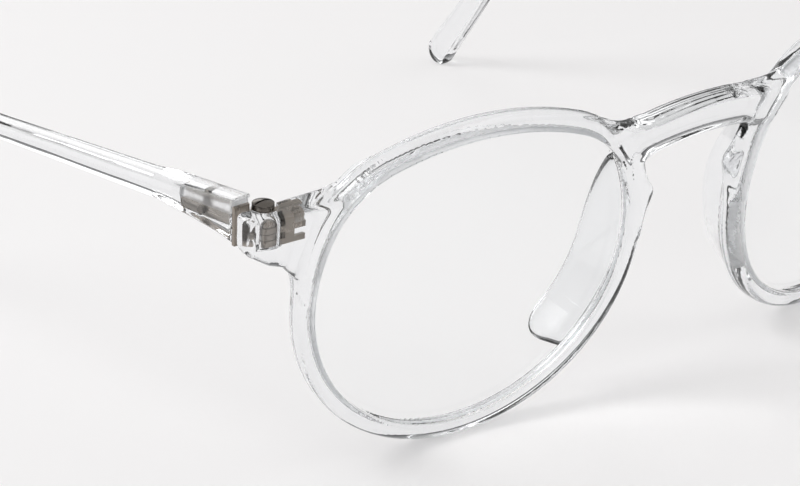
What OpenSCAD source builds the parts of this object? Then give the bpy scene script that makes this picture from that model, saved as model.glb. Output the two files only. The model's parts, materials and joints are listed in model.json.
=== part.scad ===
// Clear acetate spectacles with a round panto front, keyhole bridge and folding temples.
// Millimetres. +X is the wearer's left, +Y runs back along the temples, +Z is up.
// The spectacles stand open on z = 0, on the rim bottoms and the temple tips.

/* [Lens openings] */
// width of each lens opening
lens_width = 47; // [45:0.5:56.5]
// height of each lens opening
lens_height = 42.4; // [35:0.1:43]
// distance between the two lens openings
bridge_width = 22.6; // [20:0.1:27.5]
// brow arc radius as a share of half the lens width
brow_ratio = 1.79; // [1.7:0.01:2.1]
// upper corner radius as a share of half the lens width
corner_ratio = 0.563; // [0.45:0.01:0.6]

/* [Rims] */
// rim width seen from the front
rim_width = 2.5; // [2.2:0.1:3.2]
// rim depth from front face to back face
rim_depth = 3.1; // [3:0.1:4.4]
// rounding of the outer front edge
front_round = 1.2; // [0.8:0.1:1.3]
// rounding of the outer back edge
back_round = 0.9; // [0.6:0.1:1.2]
// rounding of the opening's edges
inner_round = 0.4; // [0.3:0.05:0.6]
// width of the lens groove
groove_width = 1; // [0.8:0.1:1.2]
// depth of the lens groove
groove_depth = 0.7; // [0.5:0.1:0.8]
// backward wrap of each eye
wrap = 8; // [4:0.5:10]
// forward lean of the front over its foot
front_lean = 13; // [8:0.5:14]

/* [Bridge] */
// height of the bridge bar
bar_height = 5.2; // [4:0.1:6]
// depth of the bridge bar
bar_depth = 3.7; // [3.2:0.1:4.4]
// underside of the bar above the lens centre
bar_level = 11.7; // [10.5:0.1:12.5]
// radius of the bar's arch
arch_radius = 60; // [45:1:90]
// radius of the keyhole
keyhole_radius = 9.6; // [9:0.1:10]
// half the gap between the keyhole lips
lip_reach = 6.7; // [6:0.1:7.4]

/* [Nose pads] */
// how far each pad reaches behind the rim
pad_depth = 5.6; // [4.6:0.1:7]
// radius of each pad's upper back edge seen from the side
pad_sweep = 24; // [18:0.5:28]
// outward slant of each pad over its depth
pad_slant = 2.8; // [2:0.1:3.4]

/* [Lenses] */
// thickness of each lens
lens_thickness = 2; // [1.6:0.1:2.4]
// radius of the front surface of each lens
lens_curve = 132; // [110:1:180]

/* [End pieces and hinges] */
// from the rim's outer edge to the hinge axis
hinge_reach = 3.9; // [3.6:0.1:5]
// from the hinge axis to the outer side of the frame
side_reach = 4.2; // [3.8:0.1:5]
// height of the hinge centre above the lens centre
hinge_level = 12.1; // [11.5:0.1:12.6]
// from the front face back to the hinge axis
hinge_setback = 3.5; // [3.3:0.1:4.4]
// forward lean of the hinge axes
hinge_lean = 7; // [4:0.5:9]
// outer radius of the knuckles
knuckle_radius = 1.5; // [1.4:0.05:1.7]
// height of each of the five knuckles
knuckle_height = 0.8; // [0.7:0.05:0.9]
// radius of the hinge screw
screw_radius = 0.6; // [0.5:0.05:0.7]
// radius of the screw head
head_radius = 1.4; // [1.1:0.05:1.5]
// thickness of the embedded anchor plate
anchor_thickness = 0.9; // [0.7:0.1:1]
// length of the embedded anchor plate
anchor_length = 2.9; // [2.4:0.1:4]

/* [Temples] */
// straight run behind the hinge
straight_run = 84; // [75:1:101]
// height of the arm at the hinge
arm_height = 6.2; // [5.8:0.1:6.8]
// height of the arm at its slimmest
slim_height = 3; // [2.6:0.1:3.6]
// thickness of the arm at the hinge
arm_thickness = 3.8; // [3.4:0.1:4]
// radius of the ear bend on the arm's upper edge
ear_radius = 25.5; // [20:0.5:32]
// downward angle of the ear piece
ear_drop = 48; // [40:1:55]
// height of the ear piece near its tip
tip_height = 5.2; // [4.4:0.1:6.2]
// outward splay of each arm
splay = 1; // [0:0.5:3]
// downward slope of each arm's straight run
arm_droop = 1.4; // [0:0.1:2.5]
// length of the hinge tail let into the arm
tail_length = 12.6; // [10:0.2:15]
// radius of the rivet that holds the tail
rivet_radius = 0.6; // [0.5:0.05:0.8]

/* [Fits] */
// radial running clearance in the knuckles
running_fit = 0.05; // [0.02:0.01:0.1]
// gap between neighbouring knuckles
knuckle_gap = 0.08; // [0.05:0.01:0.12]
// clearance around seated pieces
seat_fit = 0.03; // [0.02:0.01:0.08]
// gap between an arm and its end piece
mitre_gap = 0.3; // [0.25:0.05:0.5]
// room around the knuckles
knuckle_room = 0.35; // [0.3:0.05:0.45]

/* [Hidden] */
$fn = 96;

acetate = [0.93, 0.94, 0.95, 0.45];
glass = [0.85, 0.92, 0.95, 0.25];
metal = [0.55, 0.52, 0.49];

// roundings and offsets of the small parts
bar_round = 1.3;
bar_step = 0.3;
bar_sweep = 27;
head_height = 1;
head_dome = 3.2;
drive_slot = 0.3;
anchor_spine = 1.3;
prong_reach = 0.95;
plate_thickness = 0.5;
plate_inset = 0.15;
plate_drop = 0.9;
tail_thickness = 1;
tail_height = 1.5;
tail_offset = 0.6;
pocket_margin = 0.15;
pocket_relief = 1.8;
collar_length = 2;
rivet_y = 8.1;
rivet_bite = 1.1;
tongue = groove_depth - 0.15;
block_margin = groove_depth + 0.3;
pad_crest = 3;
pad_heel = 3.5;
pad_heel_level = 14;
big = 60;

// lens outline: brow arc, two corner arcs and one lower arc, all tangent
low_r = lens_width / 2;
brow_r = brow_ratio * low_r;
corner_r = corner_ratio * low_r;
brow_z = lens_height - low_r - brow_r;
to_brow = brow_r - corner_r;
to_low = low_r - corner_r;
corner_z = (to_low * to_low - to_brow * to_brow + brow_z * brow_z) / (2 * brow_z);
corner_x = sqrt(to_low * to_low - corner_z * corner_z);
low_turn = atan2(corner_z, corner_x);
brow_turn = atan2(corner_z - brow_z, corner_x);
// each arc: centre x, centre z, radius, first angle, last angle, in order round the lens
ARCS = [[0, 0, low_r, 180 - low_turn, 360 + low_turn],
        [corner_x, corner_z, corner_r, low_turn, brow_turn],
        [0, brow_z, brow_r, brow_turn, 180 - brow_turn],
        [-corner_x, corner_z, corner_r, 180 - brow_turn, 180 - low_turn]];
facet_angle = 4;
function facets(arc) = ceil((arc[4] - arc[3]) / facet_angle);
function arc_angle(arc, i) = arc[3] + (arc[4] - arc[3]) * i / facets(arc);
function on_arc(arc, grow, a) = [arc[0] + (arc[2] + grow) * cos(a), arc[1] + (arc[2] + grow) * sin(a)];
function edge_points(grow) = [for (arc = ARCS) for (i = [0:facets(arc) - 1])
    on_arc(arc, grow, arc_angle(arc, i))];

// standing height of the lens centre over the table
lean_norm = sqrt(1 - pow(cos(wrap) * sin(front_lean), 2));
lift = (low_r + rim_width - front_round) * lean_norm + front_round
     - (low_r * sin(wrap) + front_round * cos(wrap)) * sin(front_lean);

// hinge axis, from the end piece it sits in
hinge_x = bridge_width / 2 + (lens_width + rim_width) * cos(wrap) + hinge_reach;
wrap_y = (hinge_x - bridge_width / 2) * tan(wrap);
hinge_y = wrap_y * cos(front_lean) - hinge_level * sin(front_lean) + hinge_setback;
hinge_z = lift + wrap_y * sin(front_lean) + hinge_level * cos(front_lean);
side_x = hinge_x + side_reach;
end_t = (side_x - bridge_width / 2) / cos(wrap) - low_r + 1;
stack = 5 * knuckle_height + 4 * knuckle_gap;
pitch = knuckle_height + knuckle_gap;
tail_x = side_x - arm_thickness;

// arm profile in the side view
arm_rise = 4;
arm_top = hinge_z + arm_rise;
arm_low = arm_top - arm_height;
bend_y = hinge_y + straight_run;
bend_top = arm_top - straight_run * tan(arm_droop);
bow_y = bend_y - ear_radius * sin(arm_droop);
bow_z = bend_top - ear_radius * cos(arm_droop);
tip_r = tip_height / 2;
mid_r = ear_radius - slim_height / 2;
ear_y = bow_y + mid_r * sin(ear_drop);
ear_z = bow_z + mid_r * cos(ear_drop);
ear_run = (ear_z - tip_r) / sin(ear_drop);
tip_y = ear_y + ear_run * cos(ear_drop);
tip_taper = asin((tip_r - slim_height / 2) / ear_run);
bend_steps = 22;
tip_steps = 24;

// depth centre of the whole object
front_y = (bar_round - bar_step) * cos(front_lean)
        - (bar_level + bar_height - bar_round) * sin(front_lean) - bar_round;
mid_y = (front_y + tip_y + tip_r) / 2;

// ---- placing ----
module stand() translate([0, -mid_y, 0]) children();
module lean() translate([0, 0, lift]) rotate([front_lean, 0, 0]) children();
module eye() translate([bridge_width / 2, 0, 0]) rotate([0, 0, wrap]) translate([low_r, 0, 0]) children();
module side(s) if (s < 0) mirror([1, 0, 0]) children(); else children();
module both() {
    children();
    mirror([1, 0, 0]) children();
}
module at_hinge() translate([hinge_x, hinge_y, hinge_z]) children();
module on_axis() at_hinge() rotate([hinge_lean, 0, 0]) children();
module splayed() at_hinge() rotate([0, 0, -splay]) translate([-hinge_x, -hinge_y, -hinge_z]) children();
module upright() rotate([90, 0, 0]) children();
module sideways() rotate([90, 0, 90]) children();

// ---- flat shapes ----
module soft_box(w, h, r) {
    translate([r, 0]) square([w - 2 * r, h]);
    translate([0, r]) square([w, h - 2 * r]);
    for (x = [r, w - r], y = [r, h - r]) translate([x, y]) circle(r = r);
}
module slot(length, height) {
    square([length - height / 2, height]);
    translate([length - height / 2, height / 2]) circle(d = height);
}
// stands a flat shape up facing forwards, between two depths behind the front face
module prism(from, to) upright() mirror([0, 0, 1]) translate([0, 0, from]) linear_extrude(height = to - from)
    children();

// rim section: x from the opening outwards, y from the front face (0) back (-)
module rim_section() difference() {
    union() {
        translate([inner_round, -rim_depth]) square([rim_width - inner_round - front_round, rim_depth]);
        translate([0, inner_round - rim_depth])
            square([rim_width - front_round, rim_depth - 2 * inner_round]);
        translate([rim_width - front_round - 0.1, back_round - rim_depth])
            square([front_round + 0.1, rim_depth - front_round - back_round]);
        translate([rim_width - front_round - 0.1, -rim_depth])
            square([front_round + 0.1 - back_round, back_round + 0.1]);
        translate([inner_round, -inner_round]) circle(r = inner_round);
        translate([inner_round, inner_round - rim_depth]) circle(r = inner_round);
        translate([rim_width - front_round, -front_round]) circle(r = front_round);
        translate([rim_width - back_round, back_round - rim_depth]) circle(r = back_round);
    }
    translate([-0.1, -rim_depth / 2 - groove_width / 2]) square([groove_depth + 0.1, groove_width]);
}
module swept(arc) translate([arc[0], 0, arc[1]]) upright() rotate([0, 0, arc[3]])
    rotate_extrude(angle = arc[4] - arc[3]) translate([arc[2], 0]) children();
module rim() for (arc = ARCS) swept(arc) rim_section();

// ---- front ----
module bar() translate([0, 0, bar_level - arch_radius]) upright() rotate([0, 0, 90 - bar_sweep / 2])
    rotate_extrude(angle = bar_sweep) translate([arch_radius, bar_step - bar_depth])
    soft_box(bar_height, bar_depth, bar_round);
// fills between the bar and each rim, and makes the keyhole's lip
module gusset() prism(0.25, rim_depth - 0.4) {
    difference() {
        polygon([[lip_reach, 5.2], [bridge_width / 2 - rim_width, -1.2], [bridge_width / 2 + 0.6, -1.2],
                 [bridge_width / 2 + 2.8, bar_level + 0.5], [8, bar_level + 0.5], [6, 8]]);
        translate([0, bar_level + 0.5]) circle(r = keyhole_radius);
    }
    polygon([[10, bar_level + 0.3], [bridge_width / 2 + 2.3, bar_level + 0.3],
             [bridge_width / 2 + 4.9, bar_level + 3.8], [bridge_width / 2 + 6.4, bar_level + bar_height + 0.7],
             [10, bar_level + bar_height - 1.1]]);
}
// end piece outline, clockwise from the brow down to the rim's outer side
module end_block() prism(0.15, hinge_setback + 1.35) polygon([
    [corner_x + 1.6, corner_z + corner_r + 1.2],
    [corner_x + corner_r * 0.5 + 0.5, corner_z + corner_r * 0.87 + 0.7],
    [corner_x + corner_r * 0.76 + 0.9, corner_z + corner_r * 0.76],
    [corner_x + corner_r + 0.9, corner_z],
    [low_r + 0.9, hinge_level - 8.5],
    [low_r + 1.6, hinge_level - 11.7],
    [low_r + 3.1, hinge_level - 8.1],
    [end_t - 6.5, hinge_level - 5.9],
    [end_t - 4.4, hinge_level - 5.2],
    [end_t, hinge_level - 2.4],
    [end_t, hinge_level + 2],
    [end_t - 3.4, hinge_level + 1.7],
    [end_t - 13, hinge_level + 1.9],
    [corner_x + corner_r * 0.8, hinge_level + 2.5],
    [corner_x + corner_r * 0.5 + 1.5, hinge_level + 4.5]]);
module opening(grow) eye() prism(-2, rim_depth + 4) polygon(edge_points(grow));
module barrel_room() translate([0, 0, -stack / 2 - 0.3])
    cylinder(r = knuckle_radius + knuckle_room, h = big / 4);
module front() color(acetate) stand() difference() {
    union() {
        lean() {
            both() eye() rim();
            difference() {
                union() {
                    bar();
                    both() gusset();
                }
                both() opening(block_margin);
            }
        }
        both() difference() {
            lean() eye() end_block();
            lean() opening(block_margin);
            translate([side_x, -big / 2, 0]) cube([big, big, big]);
            on_axis() translate([-big / 2, -0.05, -big / 2]) cube([big, big, big]);
        }
    }
    both() on_axis() {
        barrel_room();
        anchor(seat_fit);
    }
}

// ---- lenses ----
lens_centre_y = (rim_depth - lens_thickness) / 2 + sqrt(pow(lens_curve, 2) - pow(low_r - 1, 2));
module at_axis() translate([0, 0, lens_height / 2 - low_r]) rotate([-90, 0, 0]) children();
module meniscus() at_axis() rotate_extrude() intersection() {
    translate([0, -10]) square([low_r + 4, 30]);
    translate([0, lens_centre_y]) difference() {
        circle(r = lens_curve);
        circle(r = lens_curve - lens_thickness);
    }
}
module lens() color(glass) stand() lean() eye() {
    intersection() {
        prism(-4, 8) polygon(edge_points(-seat_fit));
        meniscus();
    }
    prism((rim_depth - groove_width) / 2 + 0.1, (rim_depth + groove_width) / 2 - 0.1) difference() {
        polygon(edge_points(tongue));
        polygon(edge_points(-1.2));
    }
}

// ---- nose pads ----
// side view of a pad: a long sweep above and a small round heel below
module pad_profile() {
    translate([-2, -pad_heel_level]) square([pad_depth + 2, pad_heel_level - pad_crest]);
    translate([-2, -pad_heel_level - pad_heel]) square([pad_depth + 2 - pad_heel, pad_heel + 1]);
    translate([pad_depth - pad_heel, -pad_heel_level]) circle(r = pad_heel);
    intersection() {
        translate([pad_depth - pad_sweep, -pad_crest]) circle(r = pad_sweep);
        translate([-2, -pad_crest - 1]) square([pad_depth + 4, pad_sweep]);
    }
}
module pad_section() {
    polygon([[low_r + 0.45, 0], [low_r + 0.45 - pad_slant, -pad_depth],
             [low_r + 1.75 - pad_slant, -pad_depth], [low_r + rim_width - 0.5, 0]]);
    translate([low_r + 1.1 - pad_slant, -pad_depth]) circle(r = 0.8);
}
module nose_pad() color(acetate) stand() lean() eye() translate([0, rim_depth + seat_fit, 0]) intersection() {
    upright() rotate([0, 0, 155]) rotate_extrude(angle = 92) pad_section();
    translate([-big, 0, 0]) sideways() linear_extrude(height = big) pad_profile();
}

// ---- hinges ----
module at_level(level) translate([0, 0, (level - 2) * pitch - knuckle_height / 2]) children();
module knuckle(level) at_level(level) difference() {
    cylinder(r = knuckle_radius, h = knuckle_height);
    translate([0, 0, -1]) cylinder(r = screw_radius + running_fit, h = knuckle_height + 2);
}
// ties a knuckle to its leaf, over the given box beside the pin
module web(level, from, size) at_level(level) difference() {
    translate(from) cube([size[0], size[1], knuckle_height]);
    translate([0, 0, -1]) cylinder(r = knuckle_radius - 0.1, h = knuckle_height + 2);
}
// plate with three prongs let into the end piece; grow makes the pocket it sits in
module anchor(grow) translate([-knuckle_radius - knuckle_room - anchor_length, -knuckle_radius - grow, 0]) {
    for (level = [0, 2, 4]) at_level(level) translate([-grow, 0, -grow])
        cube([anchor_length + prong_reach, anchor_thickness + 2 * grow, knuckle_height + 2 * grow]);
    translate([anchor_length - anchor_spine - grow, 0, -stack / 2 - grow])
        cube([anchor_spine + grow + 0.1, anchor_thickness + 2 * grow, stack + 2 * grow]);
}
module front_hinge() color(metal) stand() on_axis() {
    anchor(0);
    for (level = [0, 2, 4]) {
        knuckle(level);
        web(level, [-knuckle_radius - knuckle_room - 0.6, -knuckle_radius, 0],
            [knuckle_radius + knuckle_room + 0.6, anchor_thickness]);
    }
}
module screw() {
    translate([0, 0, -stack / 2]) cylinder(r = screw_radius, h = stack + 0.2);
    translate([0, 0, stack / 2 + seat_fit]) difference() {
        intersection() {
            cylinder(r = head_radius, h = head_height);
            translate([0, 0, head_height - head_dome]) sphere(r = head_dome);
        }
        translate([-head_radius - 1, -drive_slot / 2, head_height - drive_slot])
            cube([2 * head_radius + 2, drive_slot, 1]);
    }
}
module hinge_screws() color(metal) stand() both() on_axis() screw();
module on_tail() splayed() translate([tail_x, hinge_y, hinge_z + tail_offset]) children();
// flat tail with a round rear end and a taller collar beside the knuckles
module tail(grow, from, depth) on_tail() translate([from, 0, 0]) sideways() linear_extrude(height = depth) {
    translate([mitre_gap, -tail_height / 2 - grow])
        slot(tail_length - mitre_gap + grow, tail_height + 2 * grow);
    translate([mitre_gap, -tail_offset - pitch - knuckle_height / 2 - grow])
        square([collar_length + grow, 2 * pitch + knuckle_height + 2 * grow]);
}
module at_rivet() on_tail() translate([0, rivet_y, 0]) rotate([0, 90, 0]) children();
module temple_hinge() color(metal) stand() {
    difference() {
        tail(0, 0, tail_thickness);
        at_rivet() cylinder(r = rivet_radius, h = big, center = true);
        on_axis() cylinder(r = knuckle_radius + knuckle_room, h = big, center = true);
    }
    on_axis() for (level = [1, 3]) {
        knuckle(level);
        web(level, [tail_x - hinge_x, 0, 0], [tail_thickness, collar_length + 0.2]);
    }
}

// ---- temples ----
// lower edge of the arm as its height tapers from the hinge (t = 0) to its slimmest (t = 1)
function mid_low(t) = arm_low + (arm_height - slim_height) * t;
function arc_line(centre, r, from, to, n) = [for (i = [0:n])
    centre + r * [cos(from + (to - from) * i / n), sin(from + (to - from) * i / n)]];
function arm_outline() = concat(
    [[hinge_y, arm_low], [hinge_y + 4, mid_low(0.27)], [hinge_y + 9, mid_low(0.48)],
     [hinge_y + 17, mid_low(0.72)], [hinge_y + 50, mid_low(1) - 50 * tan(arm_droop)]],
    arc_line([bow_y, bow_z], ear_radius - slim_height, 90 - arm_droop, 90 - ear_drop, bend_steps),
    arc_line([tip_y, tip_r], tip_r, -90 - tip_taper - ear_drop, 90 + tip_taper - ear_drop, tip_steps),
    arc_line([bow_y, bow_z], ear_radius, 90 - ear_drop, 90 - arm_droop, bend_steps),
    [[hinge_y, arm_top]]);
// the arm's inner face steps outwards behind the hinge tail
module arm_plan() polygon([[tail_x, hinge_y], [side_x, hinge_y], [side_x, tip_y + big / 2],
    [tail_x + 1.1, tip_y + big / 2], [tail_x + 1.1, hinge_y + 50],
    [tail_x + 0.6, hinge_y + tail_length + 6], [tail_x, hinge_y + tail_length + 2.4]]);
module temple() color(acetate) stand() difference() {
    splayed() intersection() {
        translate([hinge_x - 1, 0, 0]) sideways() linear_extrude(height = side_reach + 2)
            polygon(arm_outline());
        translate([0, 0, -1]) linear_extrude(height = big) arm_plan();
    }
    on_axis() {
        translate([-big / 2, mitre_gap + plate_thickness + seat_fit - big, -big / 2]) cube([big, big, big]);
        barrel_room();
    }
    tail(pocket_margin, -1, 1 + tail_thickness + seat_fit);
    on_tail() translate([-1, 0, -tail_height / 2 - pocket_margin]) sideways()
        linear_extrude(height = 1 + tail_thickness + seat_fit)
        slot(tail_length + pocket_margin, tail_height + 2 * pocket_margin + pocket_relief);
    at_rivet() cylinder(r = rivet_radius + seat_fit, h = tail_thickness + rivet_bite + seat_fit);
}
module end_plate() color(metal) stand() on_axis() difference() {
    translate([0, mitre_gap, arm_rise - arm_height + plate_inset])
        cube([side_reach - plate_inset, plate_thickness, arm_height - plate_inset - plate_drop]);
    barrel_room();
    translate([-big, 0, -big / 2]) cube([big + tail_x - hinge_x + plate_inset, big, big]);
}
module temple_rivet() color(metal) stand() at_rivet() {
    translate([0, 0, -0.35]) cylinder(r = 2 * rivet_radius, h = 0.35 - seat_fit);
    translate([0, 0, -0.1]) cylinder(r = rivet_radius - seat_fit, h = tail_thickness + rivet_bite);
}

front();
side(-1) lens();  // lens_right
side(1) lens();  // lens_left
side(-1) nose_pad();  // nose_pad_right
side(1) nose_pad();  // nose_pad_left
side(-1) front_hinge();  // front_hinge_right
side(1) front_hinge();  // front_hinge_left
hinge_screws();
side(-1) temple_hinge();  // temple_hinge_right
side(1) temple_hinge();  // temple_hinge_left
side(-1) end_plate();  // end_plate_right
side(1) end_plate();  // end_plate_left
side(-1) temple();  // temple_right
side(1) temple();  // temple_left
side(-1) temple_rivet();  // temple_rivet_right
side(1) temple_rivet();  // temple_rivet_left
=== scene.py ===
"""Clear acetate eyeglasses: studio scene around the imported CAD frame. Metres, same frame as the CAD."""
import json
import math

import bpy
import numpy as np
from mathutils import Matrix, Vector


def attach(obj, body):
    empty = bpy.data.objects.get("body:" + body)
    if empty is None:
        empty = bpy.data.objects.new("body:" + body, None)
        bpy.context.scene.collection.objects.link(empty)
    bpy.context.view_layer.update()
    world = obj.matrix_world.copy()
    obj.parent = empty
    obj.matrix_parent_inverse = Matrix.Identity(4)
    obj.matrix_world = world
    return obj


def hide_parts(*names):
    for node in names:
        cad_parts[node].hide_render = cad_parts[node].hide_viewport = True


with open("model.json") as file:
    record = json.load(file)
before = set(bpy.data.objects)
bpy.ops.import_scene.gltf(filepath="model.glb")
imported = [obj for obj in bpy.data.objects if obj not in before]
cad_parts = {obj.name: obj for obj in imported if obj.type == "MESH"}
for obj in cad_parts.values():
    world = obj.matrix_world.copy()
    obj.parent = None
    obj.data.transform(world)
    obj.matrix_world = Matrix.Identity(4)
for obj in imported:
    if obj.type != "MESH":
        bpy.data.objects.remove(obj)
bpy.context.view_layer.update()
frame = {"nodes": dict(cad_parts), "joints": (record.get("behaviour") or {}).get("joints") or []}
NODES = frame["nodes"]
MM = 0.001

# ---- driving dimensions, as in the CAD (millimetres and degrees) ----
LENS_WIDTH = 47
LENS_HEIGHT = 42.4
BRIDGE_WIDTH = 22.6
BROW_RATIO = 1.79
CORNER_RATIO = 0.563
RIM_WIDTH = 2.5
RIM_DEPTH = 3.1
FRONT_ROUND = 1.2
BACK_ROUND = 0.9
INNER_ROUND = 0.4
GROOVE_WIDTH = 1.0
GROOVE_DEPTH = 0.7
WRAP = math.radians(8)
FRONT_LEAN = math.radians(13)
BAR_HEIGHT = 5.2
BAR_DEPTH = 3.7
BAR_LEVEL = 11.7
BAR_ROUND = 1.3
BAR_STEP = 0.3
BAR_SWEEP = math.radians(27)
ARCH_RADIUS = 60
KEYHOLE_RADIUS = 9.6
LIP_REACH = 6.7
PAD_DEPTH = 5.6
PAD_SWEEP = 24
PAD_SLANT = 2.8
PAD_CREST = 3
PAD_HEEL = 3.5
PAD_HEEL_LEVEL = 14
PAD_START = math.radians(155)
LENS_THICKNESS = 2.0
LENS_CURVE = 132
HINGE_LEVEL = 12.1
HINGE_SETBACK = 3.5
HINGE_LEAN = math.radians(7)
SIDE_REACH = 4.2
ROOM_RADIUS = 1.85
STACK = 4.32
STRAIGHT_RUN = 84
ARM_HEIGHT = 6.2
ARM_RISE = 4
SLIM_HEIGHT = 3
ARM_THICKNESS = 3.8
EAR_RADIUS = 25.5
EAR_DROP = math.radians(48)
TIP_HEIGHT = 5.2
SPLAY = math.radians(1)
ARM_DROOP = math.radians(1.4)
TAIL_LENGTH = 12.6
TAIL_HEIGHT = 1.5
TAIL_OFFSET = 0.6
TAIL_THICKNESS = 1
POCKET_MARGIN = 0.15
POCKET_RELIEF = 1.8
MITRE = 0.83
SEAT_FIT = 0.03
BLOCK_MARGIN = GROOVE_DEPTH + 0.3

# ---- derived values ----
LOW_R = LENS_WIDTH / 2
BROW_R = BROW_RATIO * LOW_R
CORNER_R = CORNER_RATIO * LOW_R
BROW_Z = LENS_HEIGHT - LOW_R - BROW_R
CORNER_Z = ((LOW_R - CORNER_R) ** 2 - (BROW_R - CORNER_R) ** 2 + BROW_Z ** 2) / (2 * BROW_Z)
CORNER_X = math.sqrt((LOW_R - CORNER_R) ** 2 - CORNER_Z ** 2)
LOW_TURN = math.atan2(CORNER_Z, CORNER_X)
BROW_TURN = math.atan2(CORNER_Z - BROW_Z, CORNER_X)
HINGE = np.array(next(j["pos_m"] for j in frame["joints"] if j["name"] == "left_temple_fold")) / MM
WRAP_Y = (HINGE[0] - BRIDGE_WIDTH / 2) * math.tan(WRAP)
LIFT = HINGE[2] - WRAP_Y * math.sin(FRONT_LEAN) - HINGE_LEVEL * math.cos(FRONT_LEAN)
SHIFT_Y = HINGE[1] - (WRAP_Y * math.cos(FRONT_LEAN) - HINGE_LEVEL * math.sin(FRONT_LEAN) + HINGE_SETBACK)
SIDE_X = HINGE[0] + SIDE_REACH
END_T = (SIDE_X - BRIDGE_WIDTH / 2) / math.cos(WRAP) - LOW_R + 1
ARM_X = SIDE_REACH - ARM_THICKNESS


# ---- signed distances: negative inside, in millimetres ----
def soft_max(a, b, k):
    """The larger value, with a blend about k wide: it rounds the edge where two cuts meet."""
    return np.maximum(a, b) + np.maximum(k - np.abs(a - b), 0) ** 2 / (4 * k)


def soft_min(a, b, k):
    return -soft_max(-a, -b, k)


def polygon(x, y, points):
    """Signed distance to a closed polygon."""
    best = np.full(x.shape, 1e9)
    sign = np.ones(x.shape)
    for (ax, ay), (bx, by) in zip(points, points[1:] + points[:1]):
        ex, ey = ax - bx, ay - by
        wx, wy = x - bx, y - by
        along = np.clip((wx * ex + wy * ey) / (ex * ex + ey * ey), 0, 1)
        best = np.minimum(best, (wx - ex * along) ** 2 + (wy - ey * along) ** 2)
        over, under, left = y >= by, y < ay, ex * wy > ey * wx
        sign = np.where((over & under & left) | ~(over | under | left), -sign, sign)
    return sign * np.sqrt(best)


def rounded_box(x, y, width, height, radius):
    """Box from (0, 0) to (width, height); radius may be an array that differs between corners."""
    qx = np.abs(x - width / 2) - width / 2 + radius
    qy = np.abs(y - height / 2) - height / 2 + radius
    return np.minimum(np.maximum(qx, qy), 0) + np.hypot(np.maximum(qx, 0), np.maximum(qy, 0)) - radius


def to_eye(x, y):
    """From the front's frame, on the wearer's left, to the frame of one eye."""
    x = x - BRIDGE_WIDTH / 2
    return x * math.cos(WRAP) + y * math.sin(WRAP) - LOW_R, y * math.cos(WRAP) - x * math.sin(WRAP)


def from_outline(t, z):
    """Distance outwards from the lens outline: four tangent arcs, the same on both sides."""
    t = np.abs(t)
    low = np.hypot(t, z) - LOW_R
    corner = np.hypot(t - CORNER_X, z - CORNER_Z) - CORNER_R
    brow = np.hypot(t, z - BROW_Z) - BROW_R
    upper = np.where(np.arctan2(z - CORNER_Z, t - CORNER_X) <= BROW_TURN, corner, brow)
    return np.where(np.arctan2(z, t) <= LOW_TURN, low, upper)


def rim_shape(t, y, z):
    out = from_outline(t, z)
    outer = np.where(y < RIM_DEPTH / 2, FRONT_ROUND, BACK_ROUND)
    solid = rounded_box(out, y, RIM_WIDTH, RIM_DEPTH, np.where(out < RIM_WIDTH / 2, INNER_ROUND, outer))
    groove = np.maximum(out - GROOVE_DEPTH, np.abs(y - RIM_DEPTH / 2) - GROOVE_WIDTH / 2)
    return np.maximum(solid, -groove)


def bar_shape(x, y, z):
    drop = z - BAR_LEVEL + ARCH_RADIUS
    section = rounded_box(np.hypot(x, drop) - ARCH_RADIUS, y + BAR_STEP, BAR_HEIGHT, BAR_DEPTH, BAR_ROUND)
    end = x * math.cos(BAR_SWEEP / 2) - drop * math.sin(BAR_SWEEP / 2)
    return np.maximum(section, end)


def gusset_shape(x, y, z):
    half = BRIDGE_WIDTH / 2
    lip = polygon(x, z, [(LIP_REACH, 5.2), (half - RIM_WIDTH, -1.2), (half + 0.6, -1.2),
                         (half + 2.8, BAR_LEVEL + 0.5), (8, BAR_LEVEL + 0.5), (6, 8)])
    lip = soft_max(lip, KEYHOLE_RADIUS - np.hypot(x, z - BAR_LEVEL - 0.5), 0.8)
    brow = polygon(x, z, [(10, BAR_LEVEL + 0.3), (half + 2.3, BAR_LEVEL + 0.3), (half + 4.9, BAR_LEVEL + 3.8),
                          (half + 6.4, BAR_LEVEL + BAR_HEIGHT + 0.7), (10, BAR_LEVEL + BAR_HEIGHT - 1.1)])
    slab = np.abs(y - (RIM_DEPTH - 0.15) / 2) - (RIM_DEPTH - 0.65) / 2
    return soft_max(np.minimum(lip, brow), slab, 1.2)


BLOCK = [(CORNER_X + 1.6, CORNER_Z + CORNER_R + 1.2),
         (CORNER_X + CORNER_R * 0.5 + 0.5, CORNER_Z + CORNER_R * 0.87 + 0.7),
         (CORNER_X + CORNER_R * 0.76 + 0.9, CORNER_Z + CORNER_R * 0.76),
         (CORNER_X + CORNER_R + 0.9, CORNER_Z), (LOW_R + 0.9, HINGE_LEVEL - 8.5),
         (LOW_R + 1.6, HINGE_LEVEL - 11.7), (LOW_R + 3.1, HINGE_LEVEL - 8.1), (END_T - 6.5, HINGE_LEVEL - 5.9),
         (END_T - 4.4, HINGE_LEVEL - 5.2), (END_T, HINGE_LEVEL - 2.4), (END_T, HINGE_LEVEL + 2),
         (END_T - 3.4, HINGE_LEVEL + 1.7), (END_T - 13, HINGE_LEVEL + 1.9),
         (CORNER_X + CORNER_R * 0.8, HINGE_LEVEL + 2.5), (CORNER_X + CORNER_R * 0.5 + 1.5, HINGE_LEVEL + 4.5)]


def hinge_axes(x, y, z, lean):
    """Coordinates about the hinge axis, from points about the hinge in a frame that leans this much."""
    turn = HINGE_LEAN - lean
    return x, y * math.cos(turn) + z * math.sin(turn), z * math.cos(turn) - y * math.sin(turn)


def room_shape(x, y, z):
    """Round room about the knuckles, open at the top, in hinge coordinates."""
    return np.maximum(np.hypot(x, y) - ROOM_RADIUS, -z - STACK / 2 - 0.3)


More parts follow.
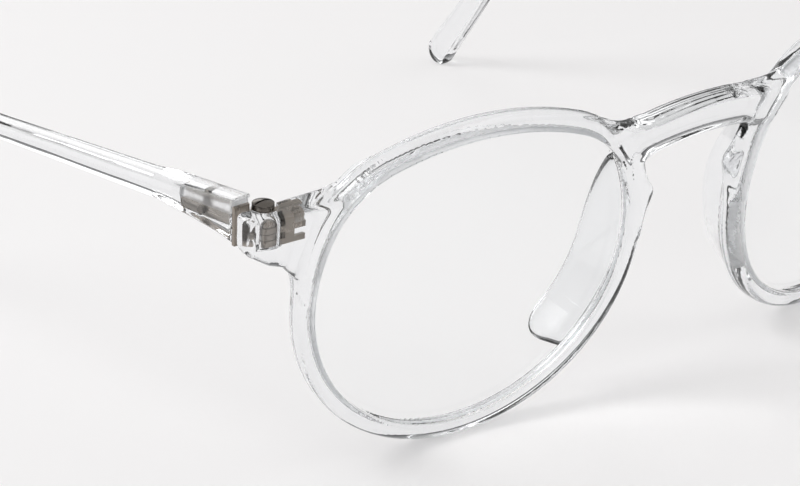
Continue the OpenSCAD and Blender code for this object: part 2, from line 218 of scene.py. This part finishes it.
def block_shape(x, y, z):
    t, depth = to_eye(x, y)
    plate = soft_max(polygon(t, z, BLOCK), np.abs(depth - 2.5) - 2.35, 1.0)
    hy, hz = HINGE[1] - SHIFT_Y, HINGE[2] - LIFT
    axis_y = hy * math.cos(FRONT_LEAN) + hz * math.sin(FRONT_LEAN)
    axis_z = hz * math.cos(FRONT_LEAN) - hy * math.sin(FRONT_LEAN)
    hinge = hinge_axes(x - HINGE[0], y - axis_y, z - axis_z, FRONT_LEAN)
    plate = soft_max(plate, x - SIDE_X, 1.0)
    return soft_max(plate, hinge[1] + 0.05, 0.5), room_shape(*hinge)


def front_shape(x, y, z):
    x = np.abs(x)
    t, depth = to_eye(x, y)
    solid = rim_shape(t, depth, z)
    keep_off = BLOCK_MARGIN - from_outline(t, z)
    near = x < 26
    bridge = soft_min(bar_shape(x[near], y[near], z[near]), gusset_shape(x[near], y[near], z[near]), 1.2)
    solid[near] = soft_min(solid[near], np.maximum(bridge, keep_off[near]), 1.0)
    far = x > 40
    block, room = block_shape(x[far], y[far], z[far])
    joined = soft_min(solid[far], np.maximum(block, keep_off[far]), 1.0)
    solid[far] = np.maximum(joined, -room)
    return solid


def lens_shape(t, y, z):
    out = from_outline(t, z)
    middle = LENS_HEIGHT / 2 - LOW_R
    front = (RIM_DEPTH - LENS_THICKNESS) / 2 + math.sqrt(LENS_CURVE ** 2 - (LOW_R - 1) ** 2)
    bulge = np.sqrt(t ** 2 + (y - front) ** 2 + (z - middle) ** 2)
    disc = np.maximum(np.maximum(bulge - LENS_CURVE, LENS_CURVE - LENS_THICKNESS - bulge), out + SEAT_FIT)
    tongue = np.maximum(out - GROOVE_DEPTH + 0.15, np.abs(y - RIM_DEPTH / 2) - GROOVE_WIDTH / 2 + 0.1)
    return np.minimum(disc, np.maximum(tongue, -1.2 - out))


def pad_shape(t, y, z):
    radius = np.hypot(t, z)
    back = y - RIM_DEPTH - SEAT_FIT
    slant = back * PAD_SLANT / PAD_DEPTH
    wall = np.abs(radius - LOW_R - 1.15 + slant) - 0.75
    sweep = np.hypot(back - PAD_DEPTH + PAD_SWEEP, z + PAD_CREST) - PAD_SWEEP
    crest = np.where(z > -PAD_CREST, sweep, back - PAD_DEPTH)
    heel = rounded_box(back + 5, z + PAD_HEEL_LEVEL + PAD_HEEL, PAD_DEPTH + 5, 40, PAD_HEEL)
    top = t * math.sin(PAD_START) - z * math.cos(PAD_START)
    return soft_max(soft_max(np.maximum(crest, heel), wall, 1.1), np.maximum(np.maximum(-back, t), top), 0.1)


def arc_points(cx, cy, r, first, last, steps):
    angles = [first + (last - first) * i / steps for i in range(steps + 1)]
    return [(cx + r * math.cos(a), cy + r * math.sin(a)) for a in angles]


def arm_outline():
    """Side view of the arm about its hinge: straight run, ear bend and tip."""
    low = ARM_RISE - ARM_HEIGHT
    top = ARM_RISE - STRAIGHT_RUN * math.tan(ARM_DROOP)
    bow_y = STRAIGHT_RUN - EAR_RADIUS * math.sin(ARM_DROOP)
    bow_z = top - EAR_RADIUS * math.cos(ARM_DROOP)
    middle = EAR_RADIUS - SLIM_HEIGHT / 2
    tip_r = TIP_HEIGHT / 2
    ear_y, ear_z = bow_y + middle * math.sin(EAR_DROP), bow_z + middle * math.cos(EAR_DROP)
    floor = -HINGE[2]
    run = (ear_z - tip_r - floor) / math.sin(EAR_DROP)
    tip_y, tip_z = ear_y + run * math.cos(EAR_DROP), floor + tip_r
    taper = math.asin((tip_r - SLIM_HEIGHT / 2) / run)
    quarter = math.pi / 2
    slim = ARM_HEIGHT - SLIM_HEIGHT
    edge = [(0, low), (4, low + slim * 0.27), (9, low + slim * 0.48), (17, low + slim * 0.72),
            (50, low + slim - 50 * math.tan(ARM_DROOP))]
    under = arc_points(bow_y, bow_z, EAR_RADIUS - SLIM_HEIGHT, quarter - ARM_DROOP, quarter - EAR_DROP, 22)
    tip = arc_points(tip_y, tip_z, tip_r, -quarter - taper - EAR_DROP, quarter + taper - EAR_DROP, 24)
    over = arc_points(bow_y, bow_z, EAR_RADIUS, quarter - EAR_DROP, quarter - ARM_DROOP, 22)
    return edge + under + tip + over + [(0, ARM_RISE)]


ARM_SIDE = arm_outline()
ARM_PLAN = [(ARM_X, 0), (SIDE_REACH, 0), (SIDE_REACH, 200), (ARM_X + 1.1, 200), (ARM_X + 1.1, 50),
            (ARM_X + 0.6, TAIL_LENGTH + 6), (ARM_X, TAIL_LENGTH + 2.4)]
POCKET_HEIGHT = TAIL_HEIGHT + 2 * POCKET_MARGIN + POCKET_RELIEF
POCKET_FLOOR = ARM_X + TAIL_THICKNESS + SEAT_FIT


def pocket_shape(x, y, z):
    middle = TAIL_OFFSET - TAIL_HEIGHT / 2 - POCKET_MARGIN + POCKET_HEIGHT / 2
    end = TAIL_LENGTH + POCKET_MARGIN - POCKET_HEIGHT / 2
    slot = np.hypot(np.maximum(y - end, 0), z - middle) - POCKET_HEIGHT / 2
    return np.maximum(slot, x - POCKET_FLOOR)


def arm_shape(x, y, z):
    """The arm about its hinge, before it is splayed."""
    solid = soft_max(polygon(y, z, ARM_SIDE), polygon(x, y, ARM_PLAN), 1.1)
    turned_x = x * math.cos(SPLAY) + y * math.sin(SPLAY)
    turned_y = y * math.cos(SPLAY) - x * math.sin(SPLAY)
    hinge = hinge_axes(turned_x, turned_y, z, 0)
    solid = soft_max(solid, MITRE - hinge[1], 0.4)
    solid = np.maximum(solid, -pocket_shape(x, y, z))
    return np.maximum(solid, -room_shape(*hinge))


# ---- meshes from signed distances ----
def gradient(shape, points):
    reach = 0.02
    steps = np.eye(3) * reach
    return np.stack([(shape(*(points + s).T) - shape(*(points - s).T)) / (2 * reach) for s in steps], axis=1)


def net(shape, low, high, step):
    """Vertices and quads of a shape's surface: one vertex in each grid cell that the surface crosses.
    A coarse grid comes first, and only the fine points near the surface are worked out."""
    axes = [np.arange(a, b + step, step) for a, b in zip(low, high)]
    grid = np.meshgrid(*axes, indexing="ij")
    coarse = shape(*(g[::4, ::4, ::4].ravel() for g in grid)).reshape(grid[0][::4, ::4, ::4].shape)
    values = coarse.repeat(4, 0).repeat(4, 1).repeat(4, 2)[:len(axes[0]), :len(axes[1]), :len(axes[2])]
    near = np.abs(values) < 8 * step
    values[near] = shape(*(g[near] for g in grid))
    inside = values < 0
    count = np.zeros([n - 1 for n in values.shape], np.int8)
    corners = [(i, j, k) for i in (0, 1) for j in (0, 1) for k in (0, 1)]
    for i, j, k in corners:
        count += inside[i:i + count.shape[0], j:j + count.shape[1], k:k + count.shape[2]]
    cells = np.nonzero((count > 0) & (count < 8))
    index = np.full(count.shape, -1, np.int64)
    index[cells] = np.arange(len(cells[0]))
    base = np.stack(cells, axis=1)
    corner_values = {c: values[tuple((base + c).T)] for c in corners}
    total, crossings = np.zeros(base.shape), np.zeros(len(base))
    for a in corners:
        for axis in range(3):
            if a[axis] == 0:
                b = tuple(1 if n == axis else a[n] for n in range(3))
                va, vb = corner_values[a], corner_values[b]
                crossed = (va < 0) != (vb < 0)
                share = np.where(crossed, va / np.where(crossed, va - vb, 1), 0)
                place = np.array(a) + share[:, None] * (np.array(b) - np.array(a))
                total += place * crossed[:, None]
                crossings += crossed
    points = np.array(low) + step * (base + total / crossings[:, None])
    for _ in range(2):
        slope = gradient(shape, points)
        size = np.maximum((slope ** 2).sum(axis=1), 0.25)
        move = slope * (shape(*points.T) / size)[:, None]
        points = points - np.clip(move, -step / 2, step / 2)
    quads = []
    for axis in range(3):
        first, second = (axis + 1) % 3, (axis + 2) % 3
        low_side = np.moveaxis(inside, axis, 0)[:-1]
        high_side = np.moveaxis(inside, axis, 0)[1:]
        edges = np.stack(np.nonzero(np.moveaxis(low_side != high_side, 0, axis)), axis=1)
        edges = edges[(edges[:, first] > 0) & (edges[:, second] > 0)]
        ring = []
        for da, db in ((1, 1), (0, 1), (0, 0), (1, 0)):
            cell = edges.copy()
            cell[:, first] -= da
            cell[:, second] -= db
            ring.append(index[tuple(cell.T)])
        quad = np.stack(ring, axis=1)
        outward = inside[tuple(edges.T)]
        quads.append(np.where(outward[:, None], quad, quad[:, ::-1]))
    return points, np.concatenate(quads)


def stand(points):
    """From the front's own frame to where it stands."""
    x, y, z = points.T
    return np.stack([x, y * math.cos(FRONT_LEAN) - z * math.sin(FRONT_LEAN) + SHIFT_Y,
                     y * math.sin(FRONT_LEAN) + z * math.cos(FRONT_LEAN) + LIFT], axis=1)


def stand_eye(points):
    """From one eye's frame to where it stands, on the wearer's left."""
    t, y, z = points.T
    t = t + LOW_R
    x = t * math.cos(WRAP) - y * math.sin(WRAP) + BRIDGE_WIDTH / 2
    return stand(np.stack([x, t * math.sin(WRAP) + y * math.cos(WRAP), z], axis=1))


def stand_arm(points):
    x, y, z = points.T
    return HINGE + np.stack([x * math.cos(SPLAY) + y * math.sin(SPLAY),
                             y * math.cos(SPLAY) - x * math.sin(SPLAY), z], axis=1)


def build(name, node, body, points, quads, mirrored, materials, second=None):
    """A smooth piece that stands for a CAD node; second picks the faces that take the second material."""
    if mirrored:
        points = points * (-1, 1, 1)
        quads = quads[:, ::-1]
    mesh = bpy.data.meshes.new(name)
    mesh.vertices.add(len(points))
    mesh.vertices.foreach_set("co", (points * MM).ravel())
    mesh.loops.add(quads.size)
    mesh.loops.foreach_set("vertex_index", quads.ravel())
    mesh.polygons.add(len(quads))
    mesh.polygons.foreach_set("loop_start", np.arange(0, quads.size, 4))
    mesh.polygons.foreach_set("loop_total", np.full(len(quads), 4))
    mesh.polygons.foreach_set("use_smooth", np.ones(len(quads), bool))
    for mat in materials:
        mesh.materials.append(mat)
    if second is not None:
        mesh.polygons.foreach_set("material_index", second.astype(np.int32))
    mesh.update()
    mesh.validate()
    piece = bpy.data.objects.new(name, mesh)
    bpy.context.scene.collection.objects.link(piece)
    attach(piece, body)
    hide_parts(node)
    return piece


# ---- materials ----
def new_material(name):
    """A material, its node tree and its Principled shader."""
    mat = bpy.data.materials.new(name)
    mat.use_nodes = True
    tree = mat.node_tree
    shader = next(n for n in tree.nodes if n.type == "BSDF_PRINCIPLED")
    return mat, tree, shader


def object_noise(tree, scale, detail, stretch=(1, 1, 1)):
    """Noise in the object's own coordinates, with scale in cycles per metre."""
    coord = tree.nodes.new("ShaderNodeTexCoord")
    mapping = tree.nodes.new("ShaderNodeMapping")
    mapping.inputs["Scale"].default_value = stretch
    noise = tree.nodes.new("ShaderNodeTexNoise")
    noise.inputs["Scale"].default_value = scale
    noise.inputs["Detail"].default_value = detail
    tree.links.new(coord.outputs["Object"], mapping.inputs["Vector"])
    tree.links.new(mapping.outputs["Vector"], noise.inputs["Vector"])
    return noise


def ramp(tree, source, low, high, first, last):
    """Maps a texture's value from low..high to first..last."""
    node = tree.nodes.new("ShaderNodeMapRange")
    node.inputs["From Min"].default_value = low
    node.inputs["From Max"].default_value = high
    node.inputs["To Min"].default_value = first
    node.inputs["To Max"].default_value = last
    tree.links.new(source, node.inputs["Value"])
    return node.outputs["Result"]


def bump(tree, shader, source, strength, distance):
    node = tree.nodes.new("ShaderNodeBump")
    node.inputs["Strength"].default_value = strength
    node.inputs["Distance"].default_value = distance
    tree.links.new(source, node.inputs["Height"])
    tree.links.new(node.outputs["Normal"], shader.inputs["Normal"])


def clear_to_shadows(tree, shader, share):
    """Lets that share of the light through for shadow rays, as clear plastic does."""
    path = tree.nodes.new("ShaderNodeLightPath")
    amount = tree.nodes.new("ShaderNodeMath")
    amount.operation = "MULTIPLY"
    amount.inputs[1].default_value = share
    clear = tree.nodes.new("ShaderNodeBsdfTransparent")
    mix = tree.nodes.new("ShaderNodeMixShader")
    output = next(n for n in tree.nodes if n.type == "OUTPUT_MATERIAL")
    tree.links.new(path.outputs["Is Shadow Ray"], amount.inputs[0])
    tree.links.new(amount.outputs[0], mix.inputs["Fac"])
    tree.links.new(shader.outputs[0], mix.inputs[1])
    tree.links.new(clear.outputs[0], mix.inputs[2])
    tree.links.new(mix.outputs[0], output.inputs["Surface"])


def clear_plastic(name, color, ior, rough, share):
    mat, tree, shader = new_material(name)
    shader.inputs["Base Color"].default_value = (*color, 1)
    shader.inputs["Transmission Weight"].default_value = 1
    shader.inputs["IOR"].default_value = ior
    haze = object_noise(tree, 260, 3)
    tree.links.new(ramp(tree, haze.outputs["Fac"], 0.3, 0.7, rough, rough + 0.03), shader.inputs["Roughness"])
    wave = object_noise(tree, 90, 1)
    bump(tree, shader, wave.outputs["Fac"], 0.02, 0.0002)
    clear_to_shadows(tree, shader, share)
    return mat


def frosted_plastic(name, color, ior, rough, share):
    """Milled, unpolished acetate: rough, with fine ribs from the cutter."""
    mat, tree, shader = new_material(name)
    shader.inputs["Base Color"].default_value = (*color, 1)
    shader.inputs["Transmission Weight"].default_value = 0.85
    shader.inputs["IOR"].default_value = ior
    grain = object_noise(tree, 1800, 2)
    tree.links.new(ramp(tree, grain.outputs["Fac"], 0.3, 0.7, rough, rough + 0.25), shader.inputs["Roughness"])
    bump(tree, shader, grain.outputs["Fac"], 0.6, 0.0001)
    clear_to_shadows(tree, shader, share)
    return mat


def satin_metal(name, color, rough):
    mat, tree, shader = new_material(name)
    shader.inputs["Metallic"].default_value = 1
    shader.inputs["Base Color"].default_value = (*color, 1)
    grain = object_noise(tree, 1500, 3, (1, 0.15, 1))
    tree.links.new(ramp(tree, grain.outputs["Fac"], 0.3, 0.7, rough - 0.06, rough + 0.1), shader.inputs["Roughness"])
    bump(tree, shader, grain.outputs["Fac"], 0.15, 0.00005)
    return mat


ACETATE = clear_plastic("clear_acetate", (0.95, 0.96, 0.97), 1.49, 0.0, 0.5)
LENS = clear_plastic("clear_lens", (0.995, 1.0, 1.0), 1.2, 0.0, 0.97)
FROST = frosted_plastic("frosted_acetate", (0.95, 0.96, 0.97), 1.3, 0.35, 0.7)
METAL = satin_metal("satin_nickel", (0.3, 0.265, 0.23), 0.3)
DARK_METAL = satin_metal("dark_screw", (0.15, 0.135, 0.12), 0.22)


def assign(obj, *materials):
    obj.data.materials.clear()
    for mat in materials:
        obj.data.materials.append(mat)


# ---- the clear pieces ----
def make_front():
    points, quads = net(front_shape, (-69.5, -2, -27), (69.5, 15, 22.5), 0.2)
    centre = points[quads].mean(axis=1)
    t, depth = to_eye(np.abs(centre[:, 0]), centre[:, 1])
    out = from_outline(t, centre[:, 2])
    in_groove = (out > 0.06) & (out < GROOVE_DEPTH + 0.06)
    in_groove &= np.abs(depth - RIM_DEPTH / 2) < GROOVE_WIDTH / 2 + 0.03
    build("acetate_front", "front", "front_frame", stand(points), quads, False,
          (ACETATE, FROST), in_groove)


def make_lenses():
    points, quads = net(lens_shape, (-25, -3, -25), (25, 4.5, 20), 0.22)
    centre = points[quads].mean(axis=1)
    rim_side = from_outline(centre[:, 0], centre[:, 2]) > 0.02
    for hand, mirrored in (("left", False), ("right", True)):
        build("clear_lens_" + hand, "lens_" + hand, "front_frame", stand_eye(points), quads, mirrored,
              (LENS, FROST), rim_side)


def make_pads():
    points, quads = net(pad_shape, (-27, 2.4, -20), (-8, 10, 13), 0.24)
    for hand, mirrored in (("left", False), ("right", True)):
        build("acetate_pad_" + hand, "nose_pad_" + hand, "front_frame", stand_eye(points), quads,
              mirrored, (ACETATE,))


def make_arms():
    points, quads = net(arm_shape, (-0.4, 0, -HINGE[2] - 0.5), (5, 130, 5), 0.26)
    centre = points[quads].mean(axis=1)
    walls = np.abs(pocket_shape(*centre.T)) < 0.08
    strip_top = TAIL_OFFSET + TAIL_HEIGHT / 2
    walls &= (centre[:, 2] > strip_top) | (centre[:, 1] > TAIL_LENGTH)
    for hand, mirrored in (("left", False), ("right", True)):
        build("acetate_arm_" + hand, "temple_" + hand, hand + "_temple", stand_arm(points), quads,
              mirrored, (ACETATE, FROST), walls)


make_front()
make_lenses()
make_pads()
make_arms()
for hand in ("right", "left"):
    for part in ("front_hinge_", "temple_hinge_", "end_plate_"):
        assign(NODES[part + hand], METAL)
    assign(NODES["temple_rivet_" + hand], DARK_METAL)
assign(NODES["hinge_screws"], DARK_METAL)


# ---- floor, light and camera ----
def make_floor():
    size = 3.0
    mesh = bpy.data.meshes.new("floor")
    corners = [(-size, -size, 0), (size, -size, 0), (size, size, 0), (-size, size, 0)]
    mesh.from_pydata(corners, [], [(0, 1, 2, 3)])
    floor = bpy.data.objects.new("floor", mesh)
    bpy.context.scene.collection.objects.link(floor)
    mat, tree, shader = new_material("pale_floor")
    shader.inputs["Base Color"].default_value = (0.88, 0.868, 0.868, 1)
    shader.inputs["Roughness"].default_value = 0.7
    shader.inputs["Specular IOR Level"].default_value = 0.2
    assign(floor, mat)


def add_light(name, place, target, size, power, color=(1, 1, 1)):
    data = bpy.data.lights.new(name, "AREA")
    data.shape = "RECTANGLE"
    data.size, data.size_y = size
    data.energy = power
    data.color = color
    light = bpy.data.objects.new(name, data)
    bpy.context.scene.collection.objects.link(light)
    light.location = place
    aim = (Vector(target) - Vector(place)).to_track_quat("-Z", "Y")
    light.rotation_euler = aim.to_euler()
    return light


def make_world(low, high):
    """Studio walls: grey low down and pale overhead."""
    world = bpy.data.worlds.new("studio")
    bpy.context.scene.world = world
    world.use_nodes = True
    tree = world.node_tree
    coord = tree.nodes.new("ShaderNodeTexCoord")
    split = tree.nodes.new("ShaderNodeSeparateXYZ")
    shade = tree.nodes.new("ShaderNodeValToRGB")
    shade.color_ramp.elements[0].position = 0.0
    shade.color_ramp.elements[0].color = (*low, 1)
    shade.color_ramp.elements[1].position = 0.45
    shade.color_ramp.elements[1].color = (*high, 1)
    background = next(n for n in tree.nodes if n.type == "BACKGROUND")
    tree.links.new(coord.outputs["Generated"], split.inputs[0])
    tree.links.new(split.outputs["Z"], shade.inputs[0])
    tree.links.new(shade.outputs[0], background.inputs["Color"])
    background.inputs["Strength"].default_value = 0.69


def make_camera():
    """Front three-quarter view from the wearer's right and above, level within a small roll."""
    azimuth, elevation, roll = (math.radians(a) for a in (-38.653, 20.693, -2.5))
    back = Vector((math.sin(azimuth) * math.cos(elevation), -math.cos(azimuth) * math.cos(elevation),
                   math.sin(elevation)))
    right = Vector((0, 0, 1)).cross(back).normalized()
    up = back.cross(right)
    rolled_right = math.cos(roll) * right + math.sin(roll) * up
    rolled_up = -math.sin(roll) * right + math.cos(roll) * up
    data = bpy.data.cameras.new("camera")
    data.lens = 142.41
    data.sensor_width = 36
    camera = bpy.data.objects.new("camera", data)
    bpy.context.scene.collection.objects.link(camera)
    place = Matrix((rolled_right, rolled_up, back)).transposed().to_4x4()
    place.translation = Vector((-276.21, -349.99, 170.60)) * MM
    camera.matrix_world = place
    bpy.context.scene.camera = camera


make_floor()
make_world((0.02, 0.022, 0.028), (1.0, 1.0, 1.0))
middle = (0, -0.03, 0.02)
add_light("key", (-0.7, 0.35, 0.9), middle, (0.6, 0.6), 5.6)
add_light("fill", (0.5, -0.8, 0.8), middle, (0.8, 0.5), 1.0)
add_light("back", (0.1, 1.0, 0.5), middle, (1.2, 0.4), 1.9)
make_camera()
bpy.context.scene.view_settings.view_transform = "Standard"
